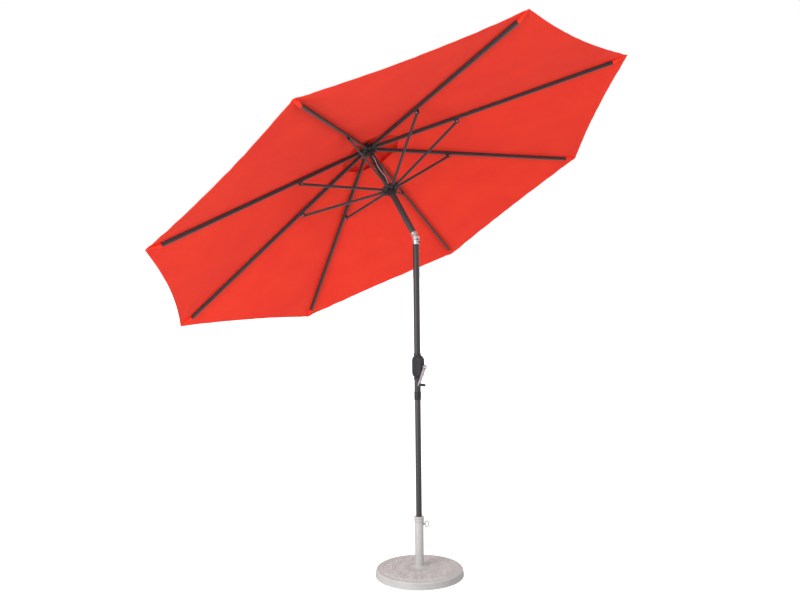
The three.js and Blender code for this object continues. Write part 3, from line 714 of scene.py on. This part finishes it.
def crank_handle():
    length = math.hypot(ARM_DROP, ARM_REACH)
    outline = arc(length, 0, 0.0078, -90, 90, 12) + arc(0, 0, 0.0105, 90, 270, 14)
    blade = slab(outline, -0.0025, 0.0025, 0.0009)
    lean = math.atan2(-ARM_DROP, -ARM_REACH)
    stand = Matrix(((0, 0, 1, 0), (1, 0, 0, 0), (0, 1, 0, 0), (0, 0, 0, 1)))
    to_arm = Matrix.Translation((ARM_X, 0, 0)) @ stand @ Matrix.Rotation(lean, 4, "Z")
    rib = slab(eased([(0.012, -0.004), (length - 0.010, -0.003), (length - 0.010, 0.003), (0.012, 0.004)],
                     0.003, 4, closed=True), 0.0022, 0.0036, 0.0006)
    end = HOUSING_X + HOUSING_HALF + 0.0033
    eye = moved(tube_ring(0.0048, 0.0104, end, ARM_X + 0.006), X_AXIS)
    grip_pin = moved(pin(0.0026, ARM_X, ARM_X + GRIP_LENGTH + 0.0012), GRIP_PIN)
    head = moved(pin(0.0045, ARM_X + GRIP_LENGTH + 0.0010, ARM_X + GRIP_LENGTH + 0.0018, 0.0014), GRIP_PIN)
    piece("crank_blade", together(moved(blade, to_arm), moved(rib, to_arm), eye, grip_pin, head), "crank",
          "zinc", CRANK, ["crank_arm"])
    nut = turned([(0, ARM_X + 0.0055), (0.0065, ARM_X + 0.0055), (0.0065, ARM_X + 0.0095),
                  (0.0052, ARM_X + 0.0108), (0, ARM_X + 0.0108)], 0.0006, 6)
    piece("shaft_end_nut", moved(nut, X_AXIS), "crank", "steel", CRANK, ["crank_shaft"])
    shaft = moved(pin(0.0045, -0.024, ARM_X + 0.006), X_AXIS)
    piece("shaft_bar", shaft, "crank", "steel", CRANK)


def crank_grip():
    start, finish = ARM_X + 0.0031, ARM_X + GRIP_LENGTH + 0.0008
    profile = [(0.0029, start), (GRIP_R - 0.001, start), (GRIP_R, start + 0.003)]
    for k in range(5):
        z = start + 0.008 + k * 0.0045
        profile += [(GRIP_R, z), (GRIP_R - 0.0009, z + 0.0012), (GRIP_R, z + 0.0024)]
    profile += [(GRIP_R, finish - 0.004), (GRIP_R - 0.002, finish), (0.0029, finish)]
    grip = turned(profile, 0.0006, 40, loop=True)
    piece("grip_sleeve", grip, "grip", "black_plastic", CRANK @ GRIP_PIN, ["crank_grip"])


# ------------------------------------------------------------------ tilt joint
def knuckles():
    at_pin = Matrix.Translation(TILT_PIN)
    block = turned([(0, -0.062), (POLE_R - WALL - 0.0003, -0.062), (POLE_R - WALL - 0.0003, -0.034),
                    (KNUCKLE_R, -0.034), (KNUCKLE_R, -0.030), (KNUCKLE_R - 0.0007, -0.0292),
                    (KNUCKLE_R - 0.0007, -0.0282), (KNUCKLE_R, -0.0274), (KNUCKLE_R, -0.0155),
                    (KNUCKLE_R - 0.0015, -0.014), (0, -0.014)], 0.0008)
    ear = [(-0.010, -0.018), (0.010, -0.018)] + arc(0, 0, EAR_R, 0, 180, 16)
    cheeks = []
    for low in (0.0079, -0.0154):
        cheeks.append(moved(slab(ear, low, low + 0.0075, 0.0012), FACE_ON))
    piece("tilt_fork", together(block, *cheeks), "mast", "zinc", at_pin, ["lower_knuckle"], sharp=35)
    heads = [moved(pin(0.0066, 0.0157, 0.0166, 0.0018), FACE_ON),
             moved(pin(0.0066, 0.0157, 0.0166, 0.0018), FACE_ON @ Matrix.Rotation(math.pi, 4, "X"))]
    bar = moved(pin(0.004, -0.0156, 0.0156), FACE_ON)
    piece("hinge_pin", together(bar, *heads), "mast", "steel", at_pin, ["tilt_pin"])
    button = turned([(0, 0.008), (0.0048, 0.008), (0.0048, KNUCKLE_R + 0.003), (0.0038, KNUCKLE_R + 0.004),
                     (0.0015, KNUCKLE_R + 0.0036), (0, KNUCKLE_R + 0.0035)], 0.0006, 36)
    piece("press_button", moved(button, X_AXIS), "button", "black_plastic",
          at_pin @ Matrix.Translation((0, 0, -0.024)), ["tilt_button"])

    tongue_line = [(-EAR_R, 0.018)] + arc(0, 0, EAR_R, 180, 360, 18) + [(EAR_R, 0.018)]
    tongue = moved(slab(tongue_line, -0.0074, 0.0074, 0.001), FACE_ON)
    sleeve = turned([(0, 0.017), (KNUCKLE_R - 0.0015, 0.017), (KNUCKLE_R, 0.0185), (KNUCKLE_R, 0.030),
                     (POLE_R - WALL - 0.0003, 0.030), (POLE_R - WALL - 0.0003, 0.058), (0, 0.058)], 0.0008)
    piece("tilt_tongue", together(tongue, sleeve), "head", "zinc", HEAD, ["upper_knuckle"], sharp=35)


# ------------------------------------------------------------------ hub, runner, ribs
def star(radius, slot_width):
    """A disc's outline with a parallel-sided slot at each rib, and its bore's matching points."""
    outline = []
    w = slot_width / 2
    for i in range(RIBS):
        turn = FIRST_RIB + i * SECTOR
        lip = math.asin(w / radius)
        local = [(SLOT_ROOT, -w), (SLOT_ROOT, w), (math.sqrt(radius ** 2 - w ** 2) - 0.002, w)]
        for k in range(7):
            a = lip + (SECTOR - 2 * lip) * k / 6
            local.append((radius * math.cos(a), radius * math.sin(a)))
        a = SECTOR
        x, y = math.sqrt(radius ** 2 - w ** 2) - 0.002, -w
        local.append((x * math.cos(a) - y * math.sin(a), x * math.sin(a) + y * math.cos(a)))
        outline += [(x * math.cos(turn) - y * math.sin(turn), x * math.sin(turn) + y * math.cos(turn))
                    for x, y in local]
    return outline


def slotted_disc(radius, slot_width, inner, low, high, chamfer=0.002):
    outline = star(radius, slot_width)
    points, rings = [], []

    def add(line, z):
        first = len(points)
        points.extend((x, y, z) for x, y in line)
        rings.append(list(range(first, first + len(outline))))

    def scaled(drop):
        return [(x * (1 - drop / math.hypot(x, y)), y * (1 - drop / math.hypot(x, y))) for x, y in outline]

    bore = [(x * inner / math.hypot(x, y), y * inner / math.hypot(x, y)) for x, y in outline]
    add(bore, low)
    add(scaled(chamfer), low)
    add(outline, low + chamfer)
    add(outline, high - chamfer)
    add(scaled(chamfer), high)
    add(bore, high)
    return points, joined_rings(rings, closed_loop=True)


def head_tube():
    """The head pole with the window its cord leaves by."""
    low, high = PULLEY_Z - 0.040, PULLEY_Z + 0.013
    inner = POLE_R - WALL
    half = math.degrees(math.asin(0.0035 / POLE_R))
    outline = arc(0, 0, POLE_R, half, 360 - half, 64) + arc(0, 0, inner, 360 - half, half, 64)
    return together(tube_ring(inner, POLE_R, 0.0303, low, 0.00002), slab(outline, low, high, 0.00002),
                    tube_ring(inner, POLE_R, high, POLE_TOP, 0.00002))


def hub_and_pole():
    piece("head_tube", head_tube(), "head", "charcoal_paint", HEAD @ CORD_SIDE, ["top_pole"])
    hub = slotted_disc(HUB_R, RIB_W + 0.0012, POLE_R + 0.0003, HUB_Z - 0.013, HUB_Z + 0.013)
    piece("rib_hub", hub, "head", "black_plastic", HEAD, ["top_hub"])
    collar = tube_ring(POLE_R + 0.0003, 0.0205, HUB_Z - 0.024, HUB_Z - 0.012, 0.0012)
    piece("hub_collar", collar, "head", "black_plastic", HEAD)
    wire = tube_torus(PIVOT_R, 0.0014, HUB_Z)
    piece("hub_wire", wire, "head", "steel", HEAD)
    runner = slotted_disc(HUB_R - 0.001, STRUT_W + 0.0014, POLE_R + 0.0007, RUNNER_Z - 0.013,
                          RUNNER_Z + 0.013)
    sleeve = turned([(POLE_R + 0.0007, RUNNER_BOTTOM), (RUNNER_SLEEVE_R - 0.003, RUNNER_BOTTOM),
                     (RUNNER_SLEEVE_R - 0.001, RUNNER_BOTTOM + 0.003),
                     (RUNNER_SLEEVE_R - 0.003, RUNNER_Z - 0.012),
                     (POLE_R + 0.0007, RUNNER_Z - 0.012)], 0.0012, 64, loop=True)
    wire = tube_torus(PIVOT_R, 0.0013, RUNNER_Z)
    piece("strut_runner", together(runner, sleeve), "runner", "black_plastic", HEAD, ["runner"])
    piece("runner_wire", wire, "runner", "steel", HEAD)
    top = CAP_TOP + 0.0023
    ball = arc(0, top + FINIAL_H - 0.015, 0.015, -62, 88, 14)
    finial = turned([(0, POLE_TOP - 0.018), (0.0142, POLE_TOP - 0.018), (0.0142, POLE_TOP + 0.001),
                     (0.008, POLE_TOP + 0.003), (0.008, top), (0.021, top), (0.022, top + 0.004),
                     (0.017, top + 0.009), (0.009, top + 0.015), (0.0075, top + 0.022)] + ball +
                    [(0, top + FINIAL_H)], 0.0015, 64)
    piece("finial_knob", finial, "head", "black_plastic", HEAD, ["finial"])


def tube_torus(radius, thick, z):
    sides, small = 96, 10
    points, rings = [], []
    for i in range(sides):
        a = 2 * math.pi * i / sides
        first = len(points)
        for k in range(small):
            b = 2 * math.pi * k / small
            r = radius + thick * math.cos(b)
            points.append((r * math.cos(a), r * math.sin(a), z + thick * math.sin(b)))
        rings.append(list(range(first, first + small)))
    return points, joined_rings(rings, closed_loop=True)


def rib_set(i):
    place = spoke(i)
    n = i + 1
    run = Vector((RIB_END_R - PIVOT_R, RIB_END_Z - HUB_Z)).normalized()
    start = (PIVOT_R - 0.005 * run.x, HUB_Z - 0.005 * run.y)
    bar = rounded_bar(start, (RIB_END_R, RIB_END_Z), RIB_W, RIB_D)
    ear = ([(RIVET_R - 0.013, RIVET_Z + 0.018), (RIVET_R - 0.008, RIVET_Z)]
           + arc(RIVET_R, RIVET_Z, 0.008, 180, 360, 12) + [(RIVET_R + 0.013, RIVET_Z + 0.013)])
    clips = []
    for y in (STRUT_W / 2 + 0.0005, -STRUT_W / 2 - 0.0021):
        clips.append(moved(slab(ear, y, y + 0.0016, 0.0004), FACE_ON))
    piece(f"rib_bar_{n}", together(bar, *clips), f"rib_{n}", "charcoal_paint", place, [f"rib_{n}"])
    rivet_place = place @ Matrix.Translation((RIVET_R, 0, RIVET_Z)) @ FACE_ON
    side = STRUT_W / 2 + 0.0021
    rivet_head = pin(0.0042, side - 0.0002, side + 0.0004, 0.0016)
    rivet = together(pin(0.0024, -side, side), rivet_head,
                     moved(rivet_head, Matrix.Rotation(math.pi, 4, "X")))
    piece(f"rivet_{n}", rivet, f"rib_{n}", "steel", rivet_place)
    lower = Vector((PIVOT_R, RUNNER_Z))
    upper = Vector((RIVET_R, RIVET_Z))
    along = (upper - lower).normalized()
    strut = rounded_bar(tuple(lower - along * 0.004), tuple(upper + along * 0.006), STRUT_W, STRUT_D, 0.002)
    piece(f"strut_bar_{n}", strut, f"strut_{n}", "charcoal_paint", place, [f"strut_{n}"])


def rib_pocket(i):
    """The sewn cloth pocket that holds a rib's end, flattening to the corner of the hem."""
    run = Vector((RIB_END_R - PIVOT_R, 0, RIB_END_Z - HUB_Z)).normalized()
    turn = Matrix.Rotation(-math.atan2(run.z, run.x), 4, "Y")
    end = Vector((RIB_END_R, 0, RIB_END_Z))
    oval = [(0.5 * math.copysign(abs(math.cos(a)) ** 0.7, math.cos(a)),
             0.5 * math.copysign(abs(math.sin(a)) ** 0.7, math.sin(a)))
            for a in (2 * math.pi * k / 28 for k in range(28))]
    stations = []
    shape = [(-0.008, 0.0150, 0.0205, 0), (-0.006, 0.0158, 0.0212, 0),
             (0.000, 0.0165, 0.0205, 0.0002), (0.010, 0.0180, 0.0160, 0.0022),
             (0.024, 0.0190, 0.0115, 0.0045), (0.040, 0.0165, 0.0078, 0.0063),
             (0.055, 0.0120, 0.0050, 0.0077), (0.064, 0.0070, 0.0030, 0.0086)]
    for s, width, depth, up in shape:
        place = Matrix.Translation(end + run * s + Vector((0, 0, up))) @ turn
        stations.append((place, width, depth))
    piece(f"rib_pocket_{i + 1}", swept(oval, stations), f"rib_{i + 1}", "canopy_cloth", spoke(i), sharp=60)


# ------------------------------------------------------------------ canopy
SLOPE = math.atan(RIB_SLOPE / math.cos(HALF)) # down the middle of a gore
CLOTH_THICK = 0.0007
HEM_EXTRA = 0.0008
SEAM_EXTRA = 0.0005


def ripple(x, y, v, r, seam, to_hem, reach, phases, gains):
    """Height added by seam puckers, soft waves, the pull of the corners and the hem's stitching."""
    side = 0 if v < 0 else 1
    pucker = math.exp(-seam / 0.020) * min(1, seam / 0.004)
    z = 0.0009 * pucker * math.sin(r / 0.0052 + phases[side]) * gains[side]
    z += 0.0006 * pucker * math.sin(r / 0.0083 + phases[side + 2])
    wide = min(1, seam / 0.05)
    for k in range(4, 7):
        z += 0.0006 * wide * reach * gains[k] * math.sin((x * 7 + v * 3 * k) * 2 + phases[k])
    pull = math.exp(-math.hypot(to_hem, seam * 0.8) / 0.16) * min(1, seam / 0.012)
    fan = math.atan2(to_hem + 0.02, seam + 0.02)
    z += 0.0026 * pull * math.sin(fan * 11 + phases[7 + side]) * gains[9]
    return z + 0.0004 * math.exp(-to_hem / 0.018) * math.sin(y / 0.0061 + phases[10])


def closed_skin(top, under, rows, columns):
    """Joins two alike grids of points round their border."""
    count, shift = columns + 1, len(top)
    faces = [(i * count + j, i * count + j + 1, (i + 1) * count + j + 1, (i + 1) * count + j)
             for i in range(rows) for j in range(columns)]
    faces += [tuple(shift + k for k in reversed(face)) for face in faces]
    border = ([j for j in range(count)] + [i * count + columns for i in range(1, rows + 1)]
              + [rows * count + j for j in range(columns - 1, -1, -1)]
              + [i * count for i in range(rows - 1, 0, -1)])
    for a, b in zip(border, border[1:] + border[:1]):
        faces.append((a, shift + a, shift + b, b))
    return top + under, faces


def gore_shape(inner, outer, apex, slope, sag, dip, seed, rows, columns, hem_width):
    """A sewn gore as a thin closed skin: scalloped hem, slight dip, seam puckers and corner pulls."""
    dice = random.Random(seed)
    phases = [dice.uniform(0, 2 * math.pi) for _ in range(12)]
    gains = [dice.uniform(0.5, 1.0) for _ in range(12)]
    across = [math.sin(math.pi / 2 * (2 * j / columns - 1)) for j in range(columns + 1)]
    top, under = [], []
    for i in range(rows + 1):
        for v in across:
            edge = outer - sag * (1 - v * v) / math.cos(HALF)
            r = inner + (edge - inner) * i / rows
            x, y = r * math.cos(HALF), v * r * math.sin(HALF)
            seam = (1 - abs(v)) * r * math.sin(HALF)
            to_hem = (edge - r) * math.cos(HALF)
            reach = r / outer
            z = apex - math.tan(slope) * x - dip * (1 - v * v) * reach + CLOTH_THICK
            z += ripple(x, y, v, r, seam, to_hem, reach, phases, gains)
            thick = CLOTH_THICK
            if to_hem < hem_width or r - inner < hem_width * 0.6:
                thick += HEM_EXTRA
            if seam < 0.011:
                thick += SEAM_EXTRA
            top.append((x, y, z))
            under.append((x, y, z - thick))
    return closed_skin(top, under, rows, columns)


def hold_gore(obj):
    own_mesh(obj)


def canopy():
    apex = HUB_Z + PIVOT_R * RIB_SLOPE + CLOTH_LIFT
    cap_slope = SLOPE * 0.98
    for i in range(RIBS):
        body = f"panel_{i + 1}"
        shape = gore_shape(VENT_R, TIP_R, apex, SLOPE, HEM_SAG, 0.010, i + 1, 190, 44, 0.020)
        gore = piece(f"gore_{i + 1}", shape, body, "canopy_cloth", spoke(i + 0.5), [f"panel_{i + 1}"], 60)
        hold_gore(gore)
        cap = gore_shape(0.012, CAP_R, CAP_TOP + 0.0022, cap_slope, 0.008, 0.004, 50 + i, 60, 24, 0.014)
        flap = piece(f"cap_gore_{i + 1}", cap, body, "canopy_cloth", spoke(i + 0.5),
                     ["vent_cap"] if i == 0 else (), 60)
        hold_gore(flap)
        seam_strip(i, "seam", VENT_R, TIP_R - 0.004, apex, SLOPE)
        seam_strip(i, "cap_seam", 0.02, CAP_R - 0.002, CAP_TOP + 0.0022, cap_slope)


def seam_strip(i, word, inner, outer, apex, slope):
    """The felled seam on top of a rib: a narrow tape with a row of stitches down each side."""
    drop = math.tan(slope) * math.cos(HALF)
    steps = max(12, int((outer - inner) / 0.012))
    section = eased([(-0.0065, 0), (0.0065, 0), (0.0062, 0.0008), (-0.0062, 0.0008)], 0.0004, 2, closed=True)
    stations = []
    dice = random.Random(100 + i)
    for k in range(steps + 1):
        r = inner + (outer - inner) * k / steps
        lift = 0.0006 + 0.0002 * dice.random()
        place = Matrix.Translation((r, 0, apex - drop * r + lift))
        stations.append((place, 1, 1))
    shapes = [swept(section, stations)]
    stitch = 0.0045
    for side in (-0.0045, 0.0045):
        for k in range(int((outer - inner) / (2 * stitch))):
            r = inner + 0.004 + 2 * stitch * k
            place = Matrix.Translation((r, side, apex - drop * r + 0.0015))
            dot = layered([(-0.0016, -0.0003), (0.0016, -0.0003), (0.0016, 0.0003), (-0.0016, 0.0003)],
                          [(-0.0002, lambda p: p), (0.0003, lambda p: (p[0] * 0.7, p[1] * 0.6))])
            shapes.append(moved(dot, place))
    piece(f"{word}_{i + 1}", together(*shapes), f"rib_{i + 1}", "canopy_cloth", spoke(i))


# ------------------------------------------------------------------ lift cord
def smooth_line(points, steps):
    """A Catmull-Rom line through the points."""
    line = []
    ends = [points[0] * 2 - points[1]] + points + [points[-1] * 2 - points[-2]]
    for k in range(len(points) - 1):
        a, b, c, d = ends[k:k + 4]
        for s in range(steps):
            t = s / steps
            line.append(0.5 * (2 * b + (c - a) * t + (2 * a - 5 * b + 4 * c - d) * t ** 2
                               + (3 * b - a - 3 * c + d) * t ** 3))
    return line + [points[-1]]


def lift_cord():
    route = [(POLE_R + 0.0022, 0, RUNNER_Z + 0.0133), (POLE_R + 0.005, 0.005, RUNNER_Z + 0.060),
             (POLE_R + 0.004, -0.003, RUNNER_Z + 0.125), (POLE_R + 0.0028, 0, PULLEY_Z - 0.030),
             (0.0109, 0, PULLEY_Z - 0.003)]
    line = smooth_line([HEAD @ CORD_SIDE @ Vector(p) for p in reversed(route)], 8)
    data = bpy.data.curves.new("lift_cord", "CURVE")
    data.dimensions = "3D"
    data.bevel_depth = CORD_R
    data.bevel_resolution = 4
    data.use_fill_caps = True
    spline = data.splines.new("POLY")
    spline.points.add(len(line) - 1)
    for spot, point in zip(spline.points, line):
        spot.co = (*point, 1)
    data.materials.append(CORD)
    obj = bpy.data.objects.new("lift_cord", data)
    bpy.context.scene.collection.objects.link(obj)
    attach(obj, "runner")
    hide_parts("lift_cord_outer")


# ------------------------------------------------------------------ build
add_camera()
lift_cord()
add_studio()
paint_frame()
base_plate()
base_column()
base_knob()
mast()
crank_housing()
crank_handle()
crank_grip()
knuckles()
hub_and_pole()
for index in range(RIBS):
    rib_set(index)
    rib_pocket(index)
canopy()
